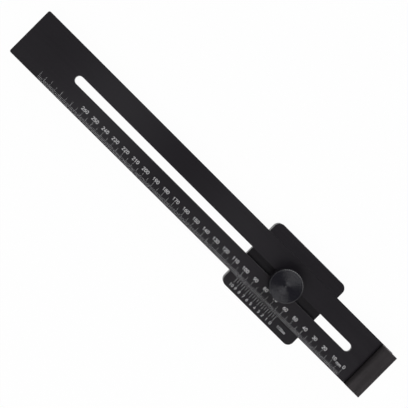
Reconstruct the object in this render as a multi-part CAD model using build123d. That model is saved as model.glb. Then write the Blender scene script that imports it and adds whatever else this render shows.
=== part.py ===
"""Vernier marking gauge: a slotted beam with a marking lip, and a slide with a fence, vernier flange and clamp.

All sizes are in millimetres. The gauge lies flat as it rests on a bench:
+X runs along the beam towards the marking edge, +Y from the scale side of the beam to its plain side,
+Z up towards the knob. The origin is at mid length, on the beam's centre line, in the slide's underside.
"""
from build123d import *
import math
import os

# Beam
overall_length = 348.5
beam_width = 40.0
beam_thickness = 3.0
beam_edge_chamfer = 0.15
tail_corner_radius = 1.5
slot_width = 6.5
slot_length = 275.5
slot_from_marking_edge = 27.5

# Marking lip, flush with the beam on the scale side and narrower on the plain side
lip_length = 14.05
lip_side_step = 0.5
lip_rise = 4.6
lip_round_radius = 5.2
lip_round_angle = 49.0
lip_relief_angle = 2.5
lip_leg_thickness = 4.0
lip_drop = 4.0
lip_bevel_height = 2.2
lip_rim_chamfer = 0.25

# Lip screws, countersunk M3
screw_from_side = 8.0
screw_diameter = 3.0
screw_length = 5.0
screw_head_diameter = 5.5
screw_head_rim = 0.3
screw_socket_across_flats = 2.0
screw_socket_depth = 1.1
screw_point_chamfer = 0.3
screw_hole_clearance = 0.1
screw_hole_run_out = 0.3

# Slide
rest_reading = 60.75
slide_length = 68.7
slide_width = 60.0
slide_thickness = 10.0
slide_corner_radius = 4.8
slide_edge_chamfer = 0.35
channel_side_clearance = 0.05
channel_relief_radius = 0.5

# Threaded bush, plain inside at the thread's outer diameter
bush_diameter = 10.0
bush_flange_diameter = 13.0
bush_flange_thickness = 1.5
bush_recess = 0.3
bush_chamfer = 0.3
thread_running_clearance = 0.05

# Clamp
stud_diameter = 6.0
stud_length = 16.0
stud_chamfer = 0.7
stud_end_height = 0.8
washer_diameter = 16.0
washer_thickness = 1.0
washer_bore_clearance = 0.1
washer_chamfer = 0.15
knob_diameter = 24.5
knob_grip_height = 10.0
knob_chamfer = 0.7
knob_boss_diameter = 15.0
knob_boss_height = 1.0
knurl_count = 48
knurl_depth = 0.55
knurl_land = 0.25
centre_mark_diameter = 1.2
centre_mark_depth = 0.45

# Places that follow from the sizes
marking_edge_x = overall_length / 2
tail_x = -overall_length / 2
beam_end_x = marking_edge_x - lip_leg_thickness
beam_bottom_z = slide_thickness - beam_thickness
beam_top_z = slide_thickness
slot_lip_end_x = marking_edge_x - slot_from_marking_edge
slot_centre_x = slot_lip_end_x - slot_length / 2
lip_inner_x = marking_edge_x - lip_length
lip_width = beam_width - lip_side_step
lip_centre_y = -lip_side_step / 2
screw_x = (lip_inner_x + beam_end_x) / 2
screw_y = beam_width / 2 - screw_from_side
screw_reach = screw_length - beam_thickness
fence_x = marking_edge_x - rest_reading
clamp_x = fence_x - slide_length / 2
washer_top_z = beam_top_z + washer_thickness
grip_bottom_z = washer_top_z + knob_boss_height
knob_top_z = grip_bottom_z + knob_grip_height
stud_top_z = stud_end_height + stud_length

LOW = (Align.CENTER, Align.CENTER, Align.MIN)


def screw_places(z):
    """The two places of the lip screws at one height, in line across the beam."""
    return [Pos(screw_x, side * screw_y, z) for side in (-1, 1)]


def turned(points):
    """A solid of revolution about Z from an outline of (radius, height) points."""
    outline = Plane.XZ * make_face(Polyline(*points, close=True))
    return revolve(outline, Axis.Z)


def screw_seat():
    """Clearance hole and countersink for one screw, from the beam's underside upwards."""
    rim = screw_head_diameter / 2
    hole = screw_diameter / 2 + screw_hole_clearance
    cone_top = screw_head_rim + rim - hole
    return turned([
        (0, 0),
        (rim + screw_hole_clearance, 0),
        (rim + screw_hole_clearance, screw_head_rim),
        (rim, screw_head_rim),
        (hole, cone_top),
        (hole, beam_thickness),
        (0, beam_thickness),
    ])


def make_beam():
    """Flat bar with a round-ended slot, and two countersunk holes under the marking lip."""
    length = beam_end_x - tail_x
    bar = Pos(tail_x + length / 2, 0, beam_bottom_z) * Box(length, beam_width, beam_thickness, align=LOW)
    tail_corners = bar.edges().filter_by(Axis.Z).group_by(Axis.X)[0]
    bar = fillet(tail_corners, tail_corner_radius)
    slot = extrude(SlotOverall(slot_length, slot_width), beam_thickness)
    bar -= Pos(slot_centre_x, 0, beam_bottom_z) * slot
    faces = bar.faces().filter_by(Axis.Z).sort_by(Axis.Z)
    bar = chamfer(faces[0].edges() + faces[-1].edges(), beam_edge_chamfer)
    for place in screw_places(beam_bottom_z):
        bar -= place * screw_seat()
    return bar


def make_marking_lip():
    """Angle of hardened steel: a flange on the beam, rounded towards the slide, and a leg with a bevelled edge."""
    top_z = beam_top_z + lip_rise
    tip_z = beam_bottom_z - lip_drop
    rim_z = top_z - lip_rim_chamfer
    angle = math.radians(lip_round_angle)
    relief = math.tan(math.radians(lip_relief_angle))
    wall_top_z = top_z - lip_round_radius * (1 - math.cos(angle))
    round_x = lip_inner_x + lip_round_radius * math.sin(angle)
    round_centre = (round_x, top_z - lip_round_radius)
    outline = [
        Line((lip_inner_x, beam_top_z), (lip_inner_x, wall_top_z)),
        CenterArc(round_centre, lip_round_radius, 90 + lip_round_angle, -lip_round_angle),
        Polyline(
            (round_x, top_z),
            (marking_edge_x - (top_z - tip_z) * relief - lip_rim_chamfer, top_z),
            (marking_edge_x - (rim_z - tip_z) * relief, rim_z),
            (marking_edge_x, tip_z),
            (beam_end_x, tip_z + lip_bevel_height),
            (beam_end_x, beam_top_z),
            (lip_inner_x, beam_top_z),
        ),
    ]
    section = Plane.XZ * make_face(outline)
    lip = Pos(0, lip_centre_y, 0) * extrude(section, lip_width / 2, both=True)
    sides = lip.faces().sort_by(Axis.Y)
    rims = [edge for side in (sides[0], sides[-1]) for edge in side.edges() if edge.center().Z > wall_top_z]
    lip = chamfer(rims, lip_rim_chamfer)
    tapped_depth = screw_reach + screw_hole_run_out
    for place in screw_places(beam_top_z):
        lip -= place * Cylinder(screw_diameter / 2, tapped_depth, align=LOW)
    return lip


def make_lip_screw():
    """Countersunk socket screw, head flush with the beam's underside and point up in the lip."""
    rim = screw_head_diameter / 2
    shank = screw_diameter / 2
    body = turned([
        (0, 0),
        (rim, 0),
        (rim, screw_head_rim),
        (shank, screw_head_rim + rim - shank),
        (shank, screw_length - screw_point_chamfer),
        (shank - screw_point_chamfer, screw_length),
        (0, screw_length),
    ])
    hexagon = RegularPolygon(screw_socket_across_flats / 2, 6, major_radius=False)
    return body - extrude(hexagon, screw_socket_depth)


def make_slide_body():
    """Block with a channel for the beam, relieved in its inner corners, and a stepped bore for the bush."""
    block = Pos(clamp_x, 0, 0) * Box(slide_length, slide_width, slide_thickness, align=LOW)
    block = fillet(block.edges().filter_by(Axis.Z), slide_corner_radius)
    faces = block.faces().filter_by(Axis.Z).sort_by(Axis.Z)
    block = chamfer(faces[0].edges() + faces[-1].edges(), slide_edge_chamfer)
    channel_width = beam_width + 2 * channel_side_clearance
    channel = Pos(clamp_x, 0, beam_bottom_z) * Box(slide_length, channel_width, beam_thickness, align=LOW)
    block -= channel
    for side in (-1, 1):
        corner = Pos(clamp_x, side * (channel_width / 2 - channel_relief_radius / 2), beam_bottom_z)
        block -= corner * Rot(0, 90, 0) * Cylinder(channel_relief_radius, slide_length)
    flange_depth = bush_flange_thickness + bush_recess
    block -= Pos(clamp_x, 0, 0) * Cylinder(bush_flange_diameter / 2, flange_depth, align=LOW)
    block -= Pos(clamp_x, 0, 0) * Cylinder(bush_diameter / 2, beam_bottom_z, align=LOW)
    return block


def make_threaded_bush():
    """Flanged bush pressed in from below, so that the pull of the stud seats its flange."""
    bore = stud_diameter / 2 + thread_running_clearance
    flange_top = bush_recess + bush_flange_thickness
    top = beam_bottom_z - bush_recess
    body = bush_diameter / 2
    flange = bush_flange_diameter / 2
    return Pos(clamp_x, 0, 0) * turned([
        (bore + bush_chamfer, bush_recess),
        (flange - bush_chamfer, bush_recess),
        (flange, bush_recess + bush_chamfer),
        (flange, flange_top),
        (body, flange_top),
        (body, top - bush_chamfer),
        (body - bush_chamfer, top),
        (bore + bush_chamfer, top),
        (bore, top - bush_chamfer),
        (bore, bush_recess + bush_chamfer),
    ])


def make_thrust_washer():
    """Flat washer on the beam's top, under the knob's boss."""
    bore = stud_diameter / 2 + washer_bore_clearance
    rim = washer_diameter / 2
    return Pos(clamp_x, 0, beam_top_z) * turned([
        (bore, 0),
        (rim - washer_chamfer, 0),
        (rim, washer_chamfer),
        (rim, washer_thickness - washer_chamfer),
        (rim - washer_chamfer, washer_thickness),
        (bore, washer_thickness),
    ])


def make_clamp_stud():
    """Stud through the slot, its upper end fixed in the knob and its lower end in the bush."""
    radius = stud_diameter / 2
    return Pos(clamp_x, 0, stud_end_height) * turned([
        (0, 0),
        (radius - stud_chamfer, 0),
        (radius, stud_chamfer),
        (radius, stud_length - stud_chamfer),
        (radius - stud_chamfer, stud_length),
        (0, stud_length),
    ])


def knurl_groove():
    """One straight V groove of the knurl, as tall as the grip, with its open side outwards."""
    radius = knob_diameter / 2
    half_width = (math.pi * knob_diameter / knurl_count - knurl_land) / 2
    section = Polyline(
        (radius - knurl_depth, 0),
        (radius + knurl_depth, 2 * half_width),
        (radius + knurl_depth, -2 * half_width),
        close=True,
    )
    return extrude(make_face(section), knob_grip_height)


def make_clamp_knob():
    """Turned knob: knurled grip with bevelled rims, boss on the washer, blind bore for the stud."""
    grip = knob_diameter / 2
    boss = knob_boss_diameter / 2
    bottom = washer_top_z
    knob = turned([
        (0, bottom),
        (boss, bottom),
        (boss, grip_bottom_z),
        (grip - knob_chamfer, grip_bottom_z),
        (grip, grip_bottom_z + knob_chamfer),
        (grip, knob_top_z - knob_chamfer),
        (grip - knob_chamfer, knob_top_z),
        (0, knob_top_z),
    ])
    groove = Pos(0, 0, grip_bottom_z) * knurl_groove()
    knob -= PolarLocations(0, knurl_count) * groove
    knob -= Pos(0, 0, bottom) * Cylinder(stud_diameter / 2, stud_top_z - bottom, align=LOW)
    mark_low = knob_top_z - centre_mark_depth
    knob -= Pos(0, 0, mark_low) * Cone(0, centre_mark_diameter / 2, centre_mark_depth, align=LOW)
    return Pos(clamp_x, 0, 0) * knob


def main():
    nodes = {
        "beam": make_beam(),
        "marking_lip": make_marking_lip(),
        "slide_body": make_slide_body(),
        "threaded_bush": make_threaded_bush(),
        "thrust_washer": make_thrust_washer(),
        "clamp_stud": make_clamp_stud(),
        "clamp_knob": make_clamp_knob(),
    }
    for number, place in enumerate(screw_places(beam_bottom_z), start=1):
        nodes[f"lip_screw_{number}"] = place * make_lip_screw()
    os.makedirs("parts", exist_ok=True)
    for name, solid in nodes.items():
        export_step(solid, f"parts/{name}.step")


main()
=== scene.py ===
"""Looks of the vernier marking gauge: finishes of its solids, its scale and vernier marks, the stud's thread.

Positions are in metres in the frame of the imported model. +X runs along the beam to the marking edge,
+Y from the scale side of the beam to its plain side, +Z up towards the knob. Named lengths that are used with
MM are in millimetres, and colours are linear.
"""
import math
import bpy
import bmesh
from mathutils import Matrix, Vector

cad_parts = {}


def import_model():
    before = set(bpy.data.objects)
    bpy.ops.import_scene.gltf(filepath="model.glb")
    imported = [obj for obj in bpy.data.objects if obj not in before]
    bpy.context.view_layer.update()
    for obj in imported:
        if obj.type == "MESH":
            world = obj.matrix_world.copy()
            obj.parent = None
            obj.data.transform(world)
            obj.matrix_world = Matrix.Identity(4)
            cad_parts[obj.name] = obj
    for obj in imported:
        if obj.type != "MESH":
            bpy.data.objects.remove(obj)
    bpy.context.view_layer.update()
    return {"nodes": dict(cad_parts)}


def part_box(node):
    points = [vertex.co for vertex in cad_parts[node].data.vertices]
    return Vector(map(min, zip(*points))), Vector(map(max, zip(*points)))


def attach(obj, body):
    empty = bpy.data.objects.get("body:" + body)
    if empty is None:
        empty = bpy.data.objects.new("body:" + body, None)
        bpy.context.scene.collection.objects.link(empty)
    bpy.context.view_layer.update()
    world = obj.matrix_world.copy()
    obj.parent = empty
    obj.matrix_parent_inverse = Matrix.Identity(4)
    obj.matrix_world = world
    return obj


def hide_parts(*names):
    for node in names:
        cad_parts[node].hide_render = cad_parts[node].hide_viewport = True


MM = 0.001

# Scale on the beam
SCALE_ZERO_TO_EDGE = 22.0
SCALE_LENGTH = 300
LABEL_STEP = 10
LAST_LABEL = 260
TICK_WIDTH = 0.082
TICK_LENGTHS = {1: 2.95, 5: 5.5, 10: 6.2}
TICK_EDGE_GAP = 0.16
MARK_SUNK = 0.02
MARK_PROUD = 0.012

# Strokes of the marks' letters: how sharp a corner may reach out, and points that count as one, in metres
CORNER_LIMIT = 0.5
SAME_POINT = 1e-7

# Numbers of the scale, shifted by how many digits they have, and the unit beside the zero
DIGIT_HEIGHT = 2.58
DIGIT_WIDTH = 1.65
DIGIT_PITCH = 2.05
DIGIT_STROKE = 0.28
DIGIT_BASE = 6.8
LABEL_SHIFTS = {1: 0.0, 2: 0.15, 3: -0.1}
X_HEIGHT_SHARE = 0.7
UNIT_HEIGHT = 2.3
UNIT_WIDTH = 2.05
UNIT_PITCH = 2.45
UNIT_STROKE = 0.22
UNIT_BASE = 5.9
UNIT_CENTRE = 4.5

# Vernier on the slide's flange
VERNIER_ZERO_TO_FENCE = 22.0
VERNIER_DIVISIONS = 20
VERNIER_STEP = 1.95
VERNIER_LONG = 4.4
VERNIER_SHORT = 2.8
VERNIER_GAP = 0.12
VERNIER_TICK_WIDTH = TICK_WIDTH * 1.3
VERNIER_DIGIT_HEIGHT = 2.2
VERNIER_DIGIT_WIDTH = 1.5
VERNIER_DIGIT_PITCH = 1.9
VERNIER_DIGIT_BASE = 5.5
VERNIER_STROKE = 0.22
VERNIER_UNIT_CENTRE = 9.15
VERNIER_UNIT_HEIGHT = 2.0
VERNIER_UNIT_WIDTH = 1.0
VERNIER_UNIT_PITCH = 1.38
VERNIER_UNIT_STROKE = VERNIER_STROKE * 0.8
VERNIER_UNIT_BASE = 3.65

# Thread of the clamp stud
THREAD_PITCH = 1.0
THREAD_DEPTH = 0.55
THREAD_STEPS = 32
THREAD_ROWS_PER_TURN = 6
THREAD_FLANK_GAIN = 1.5
THREAD_ROOT_SHARE = 0.15
THREAD_END_STEP = 0.2
THREAD_SMOOTH_ANGLE = 50

# Noise: the part of its range that is used, the finest grain, its usual stretch, and its kinds, as detail and
# roughness
NOISE_LOW = 0.3
NOISE_HIGH = 0.7
FINE_GRAIN_SCALE = 4200
EVEN = (1, 1, 1)
FINE_NOISE = (2.0, 0.5)
SOFT_NOISE = (3.0, 0.5)
SPECKLED_NOISE = (3.0, 0.6)
BROKEN_NOISE = (4.0, 0.6)
PATCHY_NOISE = (4.0, 0.65)

# Worn edges: how far the rounded normal has turned where wear starts and where it is full
EDGE_TURN = (0.004, 0.12)
EDGE_SAMPLES = 6

# Anodised aluminium: colours, roughness, noise scales, bumps in millimetres, and the stretch of its drawn grain
# along X. Wear patches are given as noise scale, the noise from and to which they grow, and their least share.
ANODISED_BLACK = (0.0038, 0.0019, 0.0047)
ANODISED_TONE_SPREAD = 0.28
ANODISED_CLOUD_TONE = 0.10
ANODISED_STREAK_TONE = 0.09
ANODISED_GRAIN_TONE = 0.08
ANODISED_GLOSS_SPREAD = 0.03
ANODISED_EDGE_RADIUS = 0.35
ANODISED_SPECULAR = 0.5
ANODISED_CLOUD_SCALE = 22
ANODISED_WEAR_PATCHES = (260, 0.42, 0.66, 0.25)
ANODISED_STREAK_BUMP = 0.004
ANODISED_GRAIN_BUMP = 0.003
DRAWN_GRAIN_SCALE = 900
DRAWN_STRETCH = (0.012, 1, 1)
BEAM_WORN = (0.019, 0.019, 0.021)
BEAM_ROUGHNESS = 0.42
SLIDE_WORN = (0.026, 0.026, 0.028)
SLIDE_ROUGHNESS = 0.41

# Painted reflections and shade: soft changes of tone along X in place of the studio's reflections and shade,
# given as place along X and half width in millimetres, added tone
BEAM_PAINTED_REFLECTIONS = (
    (-176, 60, 0.005),
    (-98, 62, 0.011),
    (-30, 36, -0.0018),
    (27, 42, 0.0045),
    (112, 34, -0.002),
)
# Painted shade on the slide between the knob and the fence
SLIDE_PAINTED_SHADE = ((106, 30, -0.002),)

# Milled floor of the slide's channel, glossier than the rest, with a darker colour that is partly painted shade
# in the
# channel: lowest, highest and half width in millimetres, roughness, colour
MILLED_FLOOR_AND_SHADE = (6.5, 7.2, 20.5, 0.37, (0.0032, 0.0017, 0.0038))

# Turned knob: colours, gloss, tool marks round the axis, wear and a painted highlight on its rims, the
# highlight weaker on the scale side. The first three pairs give how upright a face is, and the fourth how far
# it looks to the plain side, where an effect starts and is full.
KNOB_BLACK = (0.0098, 0.0093, 0.0132)
KNOB_WORN_AND_HIGHLIGHT = (0.046, 0.046, 0.0490)
KNOB_ROUGHNESS = 0.24
KNOB_GLOSS_SPREAD = 0.04
KNOB_SPECULAR = 0.46
KNOB_FLAT_FACES = (0.85, 0.98)
KNOB_RIM_STARTS = (0.5, 0.65)
KNOB_RIM_ENDS = (0.9, 0.8)
KNOB_WEAR_AND_HIGHLIGHT_SIDES = (-1.0, -0.3)
KNOB_WEAR_PATCHES = (300, 0.40, 0.62, 0.6)
KNOB_TONE_SPREAD = 0.2
KNOB_EDGE_RADIUS = 0.25
KNOB_RING_PITCH = 0.32
KNOB_RING_SCALE = 5200
KNOB_RING_DETAIL = 3.0
KNOB_RING_NOISE = (0.25, 0.75)
KNOB_EVEN_SLOPE = 0.28
KNOB_UNEVEN_SLOPE = 0.17
KNOB_SCALE_SIDE_WEAR_AND_HIGHLIGHT = 0.15
KNOB_GRAIN_BUMP = 0.002

# Metals: dark, light and worn colour, roughness
LIP_STEEL = ((0.080, 0.073, 0.0755), (0.100, 0.091, 0.0945), (0.21, 0.205, 0.208), 0.42)
SCREW_STEEL = ((0.36, 0.36, 0.37), (0.52, 0.52, 0.53), (0.7, 0.7, 0.7), 0.33)
WASHER_STEEL = ((0.40, 0.40, 0.41), (0.55, 0.55, 0.56), (0.7, 0.7, 0.7), 0.3)
STUD_STEEL = ((0.34, 0.34, 0.35), (0.50, 0.50, 0.51), (0.68, 0.68, 0.68), 0.34)
BRASS = ((0.48, 0.32, 0.12), (0.66, 0.46, 0.19), (0.82, 0.64, 0.33), 0.3)
METAL_GRAIN_SCALE = 900
METAL_GRAIN_SHARE = 0.55
METAL_GRAIN_BUMP = 0.004
METAL_FINE_SCALE = 5200
METAL_FINE_BUMP = 0.002
METAL_CLOUD_SCALE = 45
METAL_CLOUD_SHARE = 0.45
METAL_GLOSS_SPREAD = 0.06
METAL_EDGE_RADIUS = 0.3
METAL_WEAR_PATCHES = (280, 0.42, 0.66, 0.3)
LIP_GRIND = (1, 0.02, 1)

# Painted light on the lip: painted shade towards its scale side and at the foot of its inner face, a painted
# highlight along its plain side's top edge; axis, from and to in millimetres, share at from, share at to
LIP_PAINTED_LIGHT = (
    ("Y", -20, 8, 0.86, 1.0),
    ("Y", 18.3, 19.3, 1.0, 1.7),
    ("Z", 10.2, 13.0, 0.3, 1.0),
)

# Paint of the marks
PAINT_COLOUR = (0.95, 0.95, 0.95)
PAINT_DARKEST_SHARE = 0.82
PAINT_ROUGHNESS = (0.6, 0.75)
PAINT_SPECULAR = 0.3
PAINT_SPECKLE_SCALE = 3800
PAINT_SPECKLE_SHARE = 0.5
PAINT_SPECKLE_BUMP = 0.002
PAINT_PATCH_SCALE = 240
PAINT_PATCH_SHARE = 0.5

# Floor: its size in metres, and how far it lies under the slide in millimetres
FLOOR_SIZE = 60.0
FLOOR_DROP = 0.05
FLOOR_COLOUR = (0.86, 0.86, 0.86)
FLOOR_ROUGHNESS = 0.9
FLOOR_GLOW = 0.975

# Surround: strength at the horizon and overhead, the band of heights over which it falls, and the share of the
# horizon's strength at the beam's two ends and on the scale side
WORLD_HORIZON = 0.95
WORLD_ZENITH = 0.055
WORLD_BAND = (0.02, 0.26)
WORLD_END_SHARE = 0.12
WORLD_SCALE_SIDE_SHARE = 0.45

# Softboxes: azimuth, elevation, distance, width, height, power, colour
SOFTBOXES = {
    "key_softbox": (-82, 50, 1.2, 1.7, 0.9, 12.3, (1.0, 1.0, 1.0)),
    "fill_softbox": (84, 45, 1.2, 1.4, 0.7, 4.5, (0.97, 0.97, 1.06)),
    "rim_softbox": (84, 12, 1.2, 3.0, 0.55, 11.3, (1.0, 1.0, 1.0)),
}

# Camera, as fitted to the photograph: target and distance in millimetres, angles in degrees
CAMERA_TARGET = (-1.96, 0.31, 10.0)
CAMERA_DISTANCE = 600.0
CAMERA_TILT = -2.85
CAMERA_ROLL = -0.1066
CAMERA_FOCAL_PIXELS = 845.9
CAMERA_CLIP = (0.01, 50.0)
PHOTO_PIXELS = 408
SENSOR_WIDTH = 36.0

# Sockets of the colour mix node
MIX_COLOUR_A = 6
MIX_COLOUR_B = 7
MIX_COLOUR_RESULT = 2


def arc(cx, cy, rx, ry, start, end, steps=8):
    """Points on an elliptical arc, angles in degrees."""
    points = []
    for i in range(steps + 1):
        angle = math.radians(start + (end - start) * i / steps)
        points.append((cx + rx * math.cos(angle), cy + ry * math.sin(angle)))
    return points


def rounded_loop(x0, y0, x1, y1, rx, ry):
    """Closed path round a box with elliptical corners."""
    return (arc(x1 - rx, y0 + ry, rx, ry, -90, 0, 5) + arc(x1 - rx, y1 - ry, rx, ry, 0, 90, 5)
            + arc(x0 + rx, y1 - ry, rx, ry, 90, 180, 5) + arc(x0 + rx, y0 + ry, rx, ry, 180, 270, 5))


# Centre lines of the marks' letters in a unit box: a list of (points, closed)
GLYPHS = {
    "0": [(rounded_loop(0, 0, 1, 1, 0.5, 0.3), True)],
    "1": [([(0.18, 0.74), (0.62, 1.0), (0.62, 0.0)], False)],
    "2": [(arc(0.5, 0.72, 0.5, 0.28, 165, -20, 10) + [(0.02, 0.0), (1.0, 0.0)], False)],
    "3": [(arc(0.46, 0.76, 0.46, 0.24, 155, -78, 9) + arc(0.48, 0.27, 0.52, 0.27, 78, -155, 10), False)],
    "4": [([(0.74, 0.0), (0.74, 1.0), (0.0, 0.27), (1.0, 0.27)], False)],
    "5": [([(0.9, 1.0), (0.14, 1.0), (0.06, 0.52)] + arc(0.47, 0.31, 0.53, 0.31, 130, -150, 11), False)],
    "6": [([(0.78, 1.0)] + arc(0.62, 0.34, 0.62, 0.44, 128, 180, 4)
           + arc(0.5, 0.31, 0.5, 0.31, 180, 500, 16), False)],
    "7": [([(0.0, 1.0), (1.0, 1.0), (0.36, 0.0)], False)],
    "8": [(rounded_loop(0.07, 0.54, 0.93, 1.0, 0.43, 0.23), True),
          (rounded_loop(0.0, 0.0, 1.0, 0.54, 0.5, 0.27), True)],
    "9": [([(0.22, 0.0)] + arc(0.38, 0.66, 0.62, 0.44, -52, 0, 4)
           + arc(0.5, 0.69, 0.5, 0.31, 0, 320, 16), False)],
    "m": [([(0.0, 0.0), (0.0, 1.0)], False),
          ([(0.0, 0.72)] + arc(0.26, 0.74, 0.24, 0.26, 150, 0, 6) + [(0.5, 0.0)], False),
          ([(0.5, 0.72)] + arc(0.76, 0.74, 0.24, 0.26, 150, 0, 6) + [(1.0, 0.0)], False)],
    "/": [([(0.15, -0.05), (0.85, 1.05)], False)],
}


def ribbon_outline(points, width, closed):
    """Left and right outlines of a stroke of constant width along a path."""
    count = len(points)
    left, right = [], []
    for i, point in enumerate(points):
        before = points[i - 1] if (i > 0 or closed) else point
        after = points[(i + 1) % count] if (i < count - 1 or closed) else point
        into = (Vector(point) - Vector(before)).normalized() if before != point else None
        out = (Vector(after) - Vector(point)).normalized() if after != point else None
        into, out = into or out, out or into
        mean = (into + out).normalized()
        side = Vector((-mean.y, mean.x))
        reach = width / 2 / max(CORNER_LIMIT, side.dot(Vector((-out.y, out.x))))
        left.append(Vector(point) + side * reach)
        right.append(Vector(point) - side * reach)
    return left, right


def cap(point, direction, width, steps=6):
    """Half circle of points round a stroke's end, from its left side to its right side."""
    start = math.atan2(direction.y, direction.x) + math.pi / 2
    points = []
    for i in range(1, steps):
        angle = start - math.pi * i / steps
        points.append(Vector(point) + Vector((math.cos(angle), math.sin(angle))) * width / 2)
    return points


def add_plate(bm, outline, low, high):
    """Closed flat plate over one outline."""
    top = [bm.verts.new((p.x, p.y, high)) for p in outline]
    bottom = [bm.verts.new((p.x, p.y, low)) for p in outline]
    count = len(outline)
    bm.faces.new(top)
    bm.faces.new(list(reversed(bottom)))
    for i in range(count):
        j = (i + 1) % count
        bm.faces.new((bottom[i], bottom[j], top[j], top[i]))


def close_end(bm, row, ring, low, high):
    """Closes one end of a stroke over its last row and a half circle of points."""
    top = [row[0]] + [bm.verts.new((p.x, p.y, high)) for p in ring] + [row[1]]
    bottom = [row[3]] + [bm.verts.new((p.x, p.y, low)) for p in ring] + [row[2]]
    bm.faces.new(top)
    bm.faces.new(list(reversed(bottom)))
    for i in range(len(top) - 1):
        bm.faces.new((bottom[i], bottom[i + 1], top[i + 1], top[i]))


def add_stroke(bm, points, width, closed, low, high):
    """Closed solid of one stroke, as a strip of quads with rounded ends or a ring."""
    points = [p for i, p in enumerate(points)
              if i == 0 or (Vector(p) - Vector(points[i - 1])).length > SAME_POINT]
    if closed and (Vector(points[0]) - Vector(points[-1])).length < SAME_POINT:
        points.pop()
    left, right = ribbon_outline(points, width, closed)
    rows = []
    for a, b in zip(left, right):
        rows.append([bm.verts.new((p.x, p.y, z)) for p, z in ((a, high), (b, high), (b, low), (a, low))])
    count = len(rows)
    for i in range(count if closed else count - 1):
        this, following = rows[i], rows[(i + 1) % count]
        for k in range(4):
            bm.faces.new((this[k], following[k], following[(k + 1) % 4], this[(k + 1) % 4]))
    if closed:
        return
    first = (Vector(points[0]) - Vector(points[1])).normalized()
    last = (Vector(points[-1]) - Vector(points[-2])).normalized()
    close_end(bm, rows[0], list(reversed(cap(points[0], first, width))), low, high)
    close_end(bm, rows[-1], cap(points[-1], last, width), low, high)


def add_text(bm, text, centre_x, base_y, height, width, pitch, stroke, low, high):
    """One line of marks' letters, centred on centre_x, standing on base_y."""
    start = centre_x - pitch * (len(text) - 1) / 2
    for i, letter in enumerate(text):
        middle = start + i * pitch
        tall = height * (X_HEIGHT_SHARE if letter == "m" else 1.0)
        for path, closed in GLYPHS[letter]:
            points = [(middle + (x - 0.5) * (width - stroke), base_y + stroke / 2 + y * (tall - stroke))
                      for x, y in path]
            add_stroke(bm, points, stroke, closed, low, high)


def finish_mesh(bm, name, smooth_angle=None):
    """Object from a bmesh with its faces turned outwards."""
    bmesh.ops.recalc_face_normals(bm, faces=bm.faces)
    mesh = bpy.data.meshes.new(name)
    bm.to_mesh(mesh)
    bm.free()
    if smooth_angle is not None:
        mesh.polygons.foreach_set("use_smooth", [True] * len(mesh.polygons))
        mesh.set_sharp_from_angle(angle=math.radians(smooth_angle))
    piece = bpy.data.objects.new(name, mesh)
    bpy.context.scene.collection.objects.link(piece)
    return piece


def add_tick(bm, x, y0, y1, width, low, high):
    """One straight mark across the beam's direction."""
    half = width / 2
    corners = ((x - half, y0), (x + half, y0), (x + half, y1), (x - half, y1))
    add_plate(bm, [Vector(p) for p in corners], low, high)


def make_scale_marks(edge_x, side_y, top):
    """Millimetre marks from the beam's scale edge inwards, longer at every fifth and tenth."""
    bm = bmesh.new()
    zero = edge_x - SCALE_ZERO_TO_EDGE * MM
    for mark in range(SCALE_LENGTH + 1):
        length = TICK_LENGTHS[max(step for step in TICK_LENGTHS if mark % step == 0)]
        add_tick(bm, zero - mark * MM, side_y + TICK_EDGE_GAP * MM, side_y + length * MM,
                 TICK_WIDTH * MM, top - MARK_SUNK * MM, top + MARK_PROUD * MM)
    return finish_mesh(bm, "scale_marks")


def make_scale_numbers(edge_x, side_y, top):
    """Numbers of the scale, each over its mark, and the unit beside the zero."""
    bm = bmesh.new()
    zero = edge_x - SCALE_ZERO_TO_EDGE * MM
    low, high = top - MARK_SUNK * MM, top + MARK_PROUD * MM
    for value in range(0, LAST_LABEL + 1, LABEL_STEP):
        shift = LABEL_SHIFTS[len(str(value))]
        add_text(bm, str(value), zero - (value - shift) * MM, side_y + DIGIT_BASE * MM, DIGIT_HEIGHT * MM,
                 DIGIT_WIDTH * MM, DIGIT_PITCH * MM, DIGIT_STROKE * MM, low, high)
    add_text(bm, "mm", zero - UNIT_CENTRE * MM, side_y + UNIT_BASE * MM, UNIT_HEIGHT * MM,
             UNIT_WIDTH * MM, UNIT_PITCH * MM, UNIT_STROKE * MM, low, high)
    return finish_mesh(bm, "scale_numbers")


def make_vernier(fence_x, side_y, top):
    """Vernier marks and numbers on the slide's flange beside the scale."""
    bm = bmesh.new()
    zero = fence_x - VERNIER_ZERO_TO_FENCE * MM
    low, high = top - MARK_SUNK * MM, top + MARK_PROUD * MM
    for mark in range(VERNIER_DIVISIONS + 1):
        x = zero - mark * VERNIER_STEP * MM
        length = VERNIER_SHORT if mark % 2 else VERNIER_LONG
        add_tick(bm, x, side_y - length * MM, side_y - VERNIER_GAP * MM, VERNIER_TICK_WIDTH * MM, low, high)
        if mark % 2 == 0:
            base = side_y - (VERNIER_DIGIT_BASE + VERNIER_DIGIT_HEIGHT) * MM
            add_text(bm, str(mark // 2), x, base, VERNIER_DIGIT_HEIGHT * MM, VERNIER_DIGIT_WIDTH * MM,
                     VERNIER_DIGIT_PITCH * MM, VERNIER_STROKE * MM, low, high)
    base = side_y - (VERNIER_UNIT_BASE + VERNIER_UNIT_HEIGHT) * MM
    add_text(bm, "1/20mm", zero + VERNIER_UNIT_CENTRE * MM, base, VERNIER_UNIT_HEIGHT * MM,
             VERNIER_UNIT_WIDTH * MM, VERNIER_UNIT_PITCH * MM, VERNIER_UNIT_STROKE * MM, low, high)
    return finish_mesh(bm, "vernier_marks")


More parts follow.
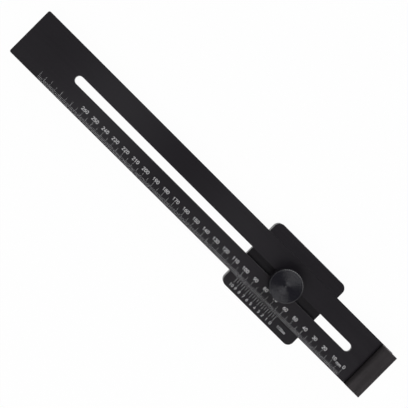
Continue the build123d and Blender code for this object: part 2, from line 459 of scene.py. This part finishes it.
def make_stud(low, high, centre_x, centre_y, radius):
    """Clamp stud with a helical thread along its length and a bevel at each end."""
    bm = bmesh.new()
    length = high - low
    core = radius - THREAD_DEPTH * MM
    rows = int(length / (THREAD_PITCH * MM) * THREAD_ROWS_PER_TURN)
    rings = []
    for i in range(rows + 1):
        z = low + length * i / rows
        inset = min(z - low, high - z)
        ring = []
        for k in range(THREAD_STEPS):
            angle = 2 * math.pi * k / THREAD_STEPS
            phase = ((z - low) / (THREAD_PITCH * MM) - k / THREAD_STEPS) % 1.0
            crest = 1 - abs(2 * phase - 1)
            share = min(1.0, max(0.0, THREAD_FLANK_GAIN * crest - THREAD_ROOT_SHARE))
            reach = core + (radius - core) * share
            reach = min(reach, core - THREAD_END_STEP * MM + inset)
            x = centre_x + reach * math.cos(angle)
            y = centre_y + reach * math.sin(angle)
            ring.append(bm.verts.new((x, y, z)))
        rings.append(ring)
    for a, b in zip(rings[:-1], rings[1:]):
        for k in range(THREAD_STEPS):
            n = (k + 1) % THREAD_STEPS
            bm.faces.new((a[k], a[n], b[n], b[k]))
    bm.faces.new(list(reversed(rings[0])))
    bm.faces.new(rings[-1])
    return finish_mesh(bm, "threaded_stud", THREAD_SMOOTH_ANGLE)


class Nodes:
    """Adds and links the shader nodes of one material or of the surround."""

    def __init__(self, owner):
        owner.use_nodes = True
        self.tree = owner.node_tree

    def add(self, kind, **values):
        node = self.tree.nodes.new(kind)
        for key, value in values.items():
            setattr(node, key, value)
        return node

    def link(self, source, target):
        self.tree.links.new(source, target)

    def value(self, target, source):
        """Links a socket, or sets a plain value."""
        if isinstance(source, bpy.types.NodeSocket):
            self.link(source, target)
        else:
            target.default_value = source

    def math(self, operation, a, b=0.0, clamp=False):
        node = self.add("ShaderNodeMath", operation=operation, use_clamp=clamp)
        self.value(node.inputs[0], a)
        self.value(node.inputs[1], b)
        return node.outputs[0]

    def vector(self, operation, a, b=None, scale=None):
        node = self.add("ShaderNodeVectorMath", operation=operation)
        self.value(node.inputs[0], a)
        if b is not None:
            self.value(node.inputs[1], b)
        if scale is not None:
            self.value(node.inputs["Scale"], scale)
        return node.outputs["Value"] if operation in ("DOT_PRODUCT", "LENGTH") else node.outputs["Vector"]

    def parts(self, source):
        """X, Y and Z of a vector."""
        node = self.add("ShaderNodeSeparateXYZ")
        self.link(source, node.inputs[0])
        return node.outputs

    def ramp(self, source, low, high, out_low=0.0, out_high=1.0, kind="LINEAR"):
        """Maps low to high onto out_low to out_high, and no further."""
        node = self.add("ShaderNodeMapRange", interpolation_type=kind)
        node.inputs["From Min"].default_value = low
        node.inputs["From Max"].default_value = high
        node.inputs["To Min"].default_value = out_low
        node.inputs["To Max"].default_value = out_high
        self.link(source, node.inputs["Value"])
        return node.outputs["Result"]


class Finish(Nodes):
    """Shader nodes of one finish on the object."""

    def __init__(self, name):
        self.material = bpy.data.materials.new(name)
        super().__init__(self.material)
        self.shader = self.tree.nodes["Principled BSDF"]
        self.coordinates = self.add("ShaderNodeTexCoord").outputs["Object"]

    def noise(self, scale, kind, stretch=EVEN):
        detail, rough = kind
        mapping = self.add("ShaderNodeMapping")
        mapping.inputs["Scale"].default_value = stretch
        self.link(self.coordinates, mapping.inputs["Vector"])
        node = self.add("ShaderNodeTexNoise")
        node.inputs["Scale"].default_value = scale
        node.inputs["Detail"].default_value = detail
        node.inputs["Roughness"].default_value = rough
        self.link(mapping.outputs["Vector"], node.inputs["Vector"])
        return node.outputs["Fac"]

    def spread(self, noise, out_low, out_high):
        """The used part of a noise's range, mapped onto out_low to out_high."""
        return self.ramp(noise, NOISE_LOW, NOISE_HIGH, out_low, out_high)

    def around(self, noise, middle, vary):
        """A value that a noise moves up and down round its middle."""
        return self.spread(noise, middle - vary, middle + vary)

    def rubbed_patches(self, scale, low, high, least):
        """Uneven share of wear, from least to 1."""
        return self.ramp(self.noise(scale, PATCHY_NOISE), low, high, least, 1.0)

    def mix(self, factor, a, b):
        node = self.add("ShaderNodeMix", data_type="RGBA")
        self.value(node.inputs["Factor"], factor)
        for socket, colour in ((node.inputs[MIX_COLOUR_A], a), (node.inputs[MIX_COLOUR_B], b)):
            if isinstance(colour, tuple):
                socket.default_value = (*colour, 1.0)
            else:
                self.link(colour, socket)
        return node.outputs[MIX_COLOUR_RESULT]

    def edges(self, radius):
        """Mask of sharp edges, from the difference between the rounded and the true normal."""
        bevel = self.add("ShaderNodeBevel", samples=EDGE_SAMPLES)
        bevel.inputs["Radius"].default_value = radius
        geometry = self.add("ShaderNodeNewGeometry")
        turned = self.vector("DOT_PRODUCT", bevel.outputs["Normal"], geometry.outputs["Normal"])
        return self.ramp(self.math("SUBTRACT", 1.0, turned), *EDGE_TURN)

    def bump(self, layers, normal=None):
        """Chain of bump nodes from (height, distance in millimetres) pairs."""
        for height, distance in layers:
            node = self.add("ShaderNodeBump")
            node.inputs["Strength"].default_value = 1.0
            node.inputs["Distance"].default_value = distance * MM
            self.link(height, node.inputs["Height"])
            if normal is not None:
                self.link(normal, node.inputs["Normal"])
            normal = node.outputs["Normal"]
        self.link(normal, self.shader.inputs["Normal"])

    def surface(self, colour, roughness, metallic=0.0, specular=None):
        """Sets the shader's colour, roughness and kind of surface."""
        self.link(colour, self.shader.inputs["Base Color"])
        self.value(self.shader.inputs["Roughness"], roughness)
        self.shader.inputs["Metallic"].default_value = metallic
        if specular is not None:
            self.shader.inputs["Specular IOR Level"].default_value = specular


def scaled(colour, share):
    """A colour times a share."""
    return tuple(c * share for c in colour)


def anodised(name, worn, roughness, painted_light_along, milled_and_shade=None):
    """Black anodised aluminium: fine drawn grain along the piece, soft cloudiness, paler sharp edges.

    painted_light_along, painted reflections and shade along X, is written as BEAM_PAINTED_REFLECTIONS, and
    milled, a milled floor whose darker colour is partly painted shade, as MILLED_FLOOR_AND_SHADE.
    """
    n = Finish(name)
    streaks = n.noise(DRAWN_GRAIN_SCALE, BROKEN_NOISE, DRAWN_STRETCH)
    grain = n.noise(FINE_GRAIN_SCALE, FINE_NOISE)
    cloud = n.noise(ANODISED_CLOUD_SCALE, SOFT_NOISE)
    tone = n.math("ADD", n.around(cloud, 0.0, ANODISED_CLOUD_TONE),
                  n.around(streaks, 0.0, ANODISED_STREAK_TONE))
    tone = n.math("ADD", tone, n.around(grain, 0.0, ANODISED_GRAIN_TONE))
    darker = scaled(ANODISED_BLACK, 1 - ANODISED_TONE_SPREAD)
    lighter = scaled(ANODISED_BLACK, 1 + ANODISED_TONE_SPREAD)
    base = n.mix(n.math("ADD", tone, 0.5, clamp=True), darker, lighter)
    gloss = n.math("ADD", n.around(streaks, roughness, ANODISED_GLOSS_SPREAD),
                   n.around(grain, 0.0, ANODISED_GLOSS_SPREAD))
    place = n.parts(n.coordinates)
    # Painted reflections and shade: tone added or taken away by place along X
    for centre, half_width, added in painted_light_along:
        away = n.math("ABSOLUTE", n.math("SUBTRACT", place["X"], centre * MM))
        near = n.ramp(away, half_width * MM, 0.0, kind="SMOOTHSTEP")
        base = n.vector("ADD", base, n.vector("SCALE", (added, added, added), scale=near))
    # The channel's floor: a glossier milled finish, and a darker colour that is partly painted shade
    if milled_and_shade is not None:
        low, high, half_width, milled_roughness, milled_and_shaded_colour = milled_and_shade
        inside = n.math("MULTIPLY", n.math("GREATER_THAN", place["Z"], low * MM),
                        n.math("LESS_THAN", place["Z"], high * MM))
        inside = n.math("MULTIPLY", inside,
                        n.math("LESS_THAN", n.math("ABSOLUTE", place["Y"]), half_width * MM))
        gloss = n.math("ADD", gloss, n.math("MULTIPLY", inside, milled_roughness - roughness))
        base = n.mix(inside, base, milled_and_shaded_colour)
    wear = n.math("MULTIPLY", n.edges(ANODISED_EDGE_RADIUS * MM), n.rubbed_patches(*ANODISED_WEAR_PATCHES))
    n.surface(n.mix(wear, base, worn), gloss, specular=ANODISED_SPECULAR)
    n.bump([(streaks, ANODISED_STREAK_BUMP), (grain, ANODISED_GRAIN_BUMP)])
    return n.material


def turned_black(name, axis_x, axis_y):
    """Black turned knob: tool marks round its axis on the flat faces, paler rims from wear and a painted
    highlight.
    """
    n = Finish(name)
    centred = n.vector("SUBTRACT", n.coordinates, (axis_x, axis_y, 0.0))
    flat = n.vector("MULTIPLY", centred, (1.0, 1.0, 0.0))
    radius = n.vector("LENGTH", flat)
    outward = n.vector("NORMALIZE", flat)
    geometry = n.add("ShaderNodeNewGeometry")
    upright = n.math("ABSOLUTE", n.parts(geometry.outputs["Normal"])["Z"])
    level = n.ramp(upright, *KNOB_FLAT_FACES)
    rim = n.math("MULTIPLY", n.ramp(upright, *KNOB_RIM_STARTS), n.ramp(upright, *KNOB_RIM_ENDS))
    wave = n.math("SINE", n.math("MULTIPLY", radius, 2 * math.pi / (KNOB_RING_PITCH * MM)))
    rings = n.add("ShaderNodeTexNoise", noise_dimensions="1D")
    rings.inputs["Scale"].default_value = KNOB_RING_SCALE
    rings.inputs["Detail"].default_value = KNOB_RING_DETAIL
    n.link(radius, rings.inputs["W"])
    uneven = n.ramp(rings.outputs["Fac"], *KNOB_RING_NOISE, -1.0, 1.0)
    slope = n.math("ADD", n.math("MULTIPLY", wave, KNOB_EVEN_SLOPE),
                   n.math("MULTIPLY", uneven, KNOB_UNEVEN_SLOPE))
    slope = n.math("MULTIPLY", slope, level)
    turn = n.add("ShaderNodeVectorTransform", vector_type="VECTOR", convert_from="OBJECT", convert_to="WORLD")
    n.link(outward, turn.inputs[0])
    leaning = n.vector("SCALE", turn.outputs[0], scale=slope)
    tilted = n.vector("NORMALIZE", n.vector("ADD", geometry.outputs["Normal"], leaning))
    grain = n.noise(FINE_GRAIN_SCALE, FINE_NOISE)
    side = n.vector("DOT_PRODUCT", outward, (0.0, 1.0, 0.0))
    # Paler rims: wear, and a painted highlight on the chamfers that is weaker on the scale side
    rubbed = n.math("MULTIPLY", n.math("MAXIMUM", n.edges(KNOB_EDGE_RADIUS * MM), rim),
                    n.rubbed_patches(*KNOB_WEAR_PATCHES))
    wear = n.math("MULTIPLY", rubbed, n.ramp(side, *KNOB_WEAR_AND_HIGHLIGHT_SIDES, KNOB_SCALE_SIDE_WEAR_AND_HIGHLIGHT, 1.0))
    darker = scaled(KNOB_BLACK, 1 - KNOB_TONE_SPREAD)
    lighter = scaled(KNOB_BLACK, 1 + KNOB_TONE_SPREAD)
    base = n.mix(n.ramp(uneven, -1.0, 1.0), darker, lighter)
    gloss = n.around(grain, KNOB_ROUGHNESS, KNOB_GLOSS_SPREAD)
    n.surface(n.mix(wear, base, KNOB_WORN_AND_HIGHLIGHT), gloss, specular=KNOB_SPECULAR)
    n.bump([(grain, KNOB_GRAIN_BUMP)], tilted)
    return n.material


def metal(name, dark, light, worn, roughness, stretch=EVEN, painted_light=()):
    """Bare or blackened metal with a ground or turned grain, uneven gloss and rubbed edges.

    shades, painted shade and highlight by place along an axis, is written as LIP_PAINTED_LIGHT.
    """
    n = Finish(name)
    grain = n.noise(METAL_GRAIN_SCALE, BROKEN_NOISE, stretch)
    fine = n.noise(METAL_FINE_SCALE, FINE_NOISE)
    cloud = n.noise(METAL_CLOUD_SCALE, BROKEN_NOISE)
    mixed = n.math("ADD", n.spread(grain, 0.0, METAL_GRAIN_SHARE), n.spread(cloud, 0.0, METAL_CLOUD_SHARE),
                   clamp=True)
    wear = n.math("MULTIPLY", n.edges(METAL_EDGE_RADIUS * MM), n.rubbed_patches(*METAL_WEAR_PATCHES))
    colour = n.mix(wear, n.mix(mixed, dark, light), worn)
    place = n.parts(n.coordinates)
    # Painted shade and highlight: the colour scaled by place along an axis
    for axis, start, end, share_start, share_end in painted_light:
        share = n.ramp(place[axis], start * MM, end * MM, share_start, share_end)
        colour = n.vector("SCALE", colour, scale=share)
    gloss = n.math("ADD", n.around(grain, roughness, METAL_GLOSS_SPREAD),
                   n.around(cloud, 0.0, METAL_GLOSS_SPREAD / 2))
    n.surface(colour, gloss, metallic=1.0)
    n.bump([(grain, METAL_GRAIN_BUMP), (fine, METAL_FINE_BUMP)])
    return n.material


def marking_paint(name):
    """Pale laser marking: slightly patchy and matt."""
    n = Finish(name)
    speckle = n.noise(PAINT_SPECKLE_SCALE, SPECKLED_NOISE)
    patches = n.noise(PAINT_PATCH_SCALE, SPECKLED_NOISE)
    tone = n.math("ADD", n.spread(speckle, 0.0, PAINT_SPECKLE_SHARE), n.spread(patches, 0.0, PAINT_PATCH_SHARE),
                  clamp=True)
    colour = n.mix(tone, scaled(PAINT_COLOUR, PAINT_DARKEST_SHARE), PAINT_COLOUR)
    n.surface(colour, n.spread(speckle, *PAINT_ROUGHNESS), specular=PAINT_SPECULAR)
    n.bump([(speckle, PAINT_SPECKLE_BUMP)])
    return n.material


def dress(piece, material):
    """Gives a piece one material in all its slots."""
    if not piece.material_slots:
        piece.data.materials.append(material)
    for place in piece.material_slots:
        place.material = material


def floor_material():
    """Pale floor that shows white to the camera and in reflections, and keeps a light shadow."""
    material = bpy.data.materials.new("pale_floor")
    n = Nodes(material)
    shader = n.tree.nodes["Principled BSDF"]
    shader.inputs["Base Color"].default_value = (*FLOOR_COLOUR, 1)
    shader.inputs["Roughness"].default_value = FLOOR_ROUGHNESS
    shader.inputs["Specular IOR Level"].default_value = 0.0
    glow = n.add("ShaderNodeEmission")
    glow.inputs["Strength"].default_value = 1.0
    path = n.add("ShaderNodeLightPath").outputs
    seen = n.math("MAXIMUM", path["Is Camera Ray"], path["Is Glossy Ray"])
    seen = n.math("MAXIMUM", seen, path["Is Transmission Ray"])
    blend = n.add("ShaderNodeMixShader")
    n.link(n.math("MULTIPLY", seen, FLOOR_GLOW), blend.inputs[0])
    n.link(shader.outputs[0], blend.inputs[1])
    n.link(glow.outputs[0], blend.inputs[2])
    n.link(blend.outputs[0], n.tree.nodes["Material Output"].inputs["Surface"])
    return material


def make_floor():
    """Large plain floor just under the slide."""
    bm = bmesh.new()
    half = FLOOR_SIZE / 2
    corners = [bm.verts.new((x, y, -FLOOR_DROP * MM)) for x, y in
               ((-half, -half), (half, -half), (half, half), (-half, half))]
    bm.faces.new(corners)
    floor = finish_mesh(bm, "floor")
    floor.data.materials.append(floor_material())


def make_world():
    """Soft surround: bright at the horizon along the beam's two sides, dim at its ends and overhead."""
    world = bpy.data.worlds.new("soft_studio")
    n = Nodes(world)
    background = n.tree.nodes["Background"]
    towards = n.parts(n.add("ShaderNodeTexCoord").outputs["Generated"])
    level = n.ramp(towards["Z"], *WORLD_BAND, WORLD_HORIZON - WORLD_ZENITH, 0.0, kind="SMOOTHSTEP")
    across = n.math("MULTIPLY", towards["Y"], towards["Y"])
    leaned = n.math("MULTIPLY", across, n.ramp(towards["Y"], -1.0, 1.0, WORLD_SCALE_SIDE_SHARE, 1.0))
    side = n.ramp(leaned, 0.0, 1.0, WORLD_END_SHARE, 1.0)
    n.link(n.math("ADD", n.math("MULTIPLY", level, side), WORLD_ZENITH), background.inputs["Strength"])
    background.inputs["Color"].default_value = (1, 1, 1, 1)
    bpy.context.scene.world = world


def add_softbox(name, azimuth, elevation, distance, width, height, power, colour):
    """Softbox aimed at the object. Azimuth 0 is +X, turning to +Y."""
    light = bpy.data.lights.new(name, "AREA")
    light.shape = "RECTANGLE"
    light.size = width
    light.size_y = height
    light.energy = power
    light.color = colour
    lamp = bpy.data.objects.new(name, light)
    a, e = math.radians(azimuth), math.radians(elevation)
    place = Vector((math.cos(a) * math.cos(e), math.sin(a) * math.cos(e), math.sin(e))) * distance
    lamp.location = place
    lamp.rotation_mode = "QUATERNION"
    lamp.rotation_quaternion = place.to_track_quat("Z", "Y")
    bpy.context.scene.collection.objects.link(lamp)


def make_camera():
    """Camera of the photograph: nearly straight above, the marking edge at the lower right."""
    right, up, back = Vector((1, 1, 0)).normalized(), Vector((-1, 1, 0)).normalized(), Vector((0, 0, 1))
    tilt = Matrix.Rotation(math.radians(CAMERA_TILT), 3, Vector((0, 1, 0)))
    right, up, back = tilt @ right, tilt @ up, tilt @ back
    roll = Matrix.Rotation(math.radians(CAMERA_ROLL), 3, back)
    right, up = roll @ right, roll @ up
    data = bpy.data.cameras.new("photo_camera")
    data.sensor_width = SENSOR_WIDTH
    data.lens = SENSOR_WIDTH * CAMERA_FOCAL_PIXELS / PHOTO_PIXELS
    data.clip_start, data.clip_end = CAMERA_CLIP
    camera = bpy.data.objects.new("photo_camera", data)
    placed = Matrix((right, up, back)).transposed().to_4x4()
    placed.translation = (Vector(CAMERA_TARGET) + back * CAMERA_DISTANCE) * MM
    camera.matrix_world = placed
    bpy.context.scene.collection.objects.link(camera)
    bpy.context.scene.camera = camera


def dress_solids(nodes, axis_x, axis_y):
    """Finishes of the solids that stay as they are packed."""
    dress(nodes["beam"], anodised("anodised_beam", BEAM_WORN, BEAM_ROUGHNESS, BEAM_PAINTED_REFLECTIONS))
    dress(nodes["slide_body"],
          anodised("anodised_slide", SLIDE_WORN, SLIDE_ROUGHNESS, SLIDE_PAINTED_SHADE, MILLED_FLOOR_AND_SHADE))
    dress(nodes["clamp_knob"], turned_black("turned_knob", axis_x, axis_y))
    dress(nodes["marking_lip"], metal("blackened_steel", *LIP_STEEL, stretch=LIP_GRIND, painted_light=LIP_PAINTED_LIGHT))
    steel = metal("screw_steel", *SCREW_STEEL)
    dress(nodes["lip_screw_1"], steel)
    dress(nodes["lip_screw_2"], steel)
    dress(nodes["thrust_washer"], metal("washer_steel", *WASHER_STEEL))
    dress(nodes["threaded_bush"], metal("brass", *BRASS))


def add_stud(axis_x, axis_y):
    """Threaded stud in the place of the plain one."""
    stud_low, stud_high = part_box("clamp_stud")
    stud = make_stud(stud_low.z, stud_high.z, axis_x, axis_y, (stud_high.x - stud_low.x) / 2)
    dress(stud, metal("stud_steel", *STUD_STEEL))
    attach(stud, "clamp_screw")
    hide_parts("clamp_stud")


def add_marks(edge_x, fence_x, side_y, top):
    """Marks and numbers on the beam and on the slide's flange."""
    paint = marking_paint("laser_marking")
    marks = make_scale_marks(edge_x, side_y, top)
    numbers = make_scale_numbers(edge_x, side_y, top)
    vernier = make_vernier(fence_x, side_y, top)
    for piece, body in ((marks, "beam"), (numbers, "beam"), (vernier, "slide")):
        dress(piece, paint)
        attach(piece, body)


def main():
    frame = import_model()
    nodes = frame["nodes"]
    bpy.context.scene.view_settings.view_transform = "Standard"

    beam_low, beam_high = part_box("beam")
    edge_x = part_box("marking_lip")[1].x
    fence_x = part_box("slide_body")[1].x
    knob_low, knob_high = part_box("clamp_knob")
    axis_x = (knob_low.x + knob_high.x) / 2
    axis_y = (knob_low.y + knob_high.y) / 2

    dress_solids(nodes, axis_x, axis_y)
    add_stud(axis_x, axis_y)
    add_marks(edge_x, fence_x, beam_low.y, beam_high.z)

    make_floor()
    make_world()
    for name, values in SOFTBOXES.items():
        add_softbox(name, *values)
    make_camera()


main()
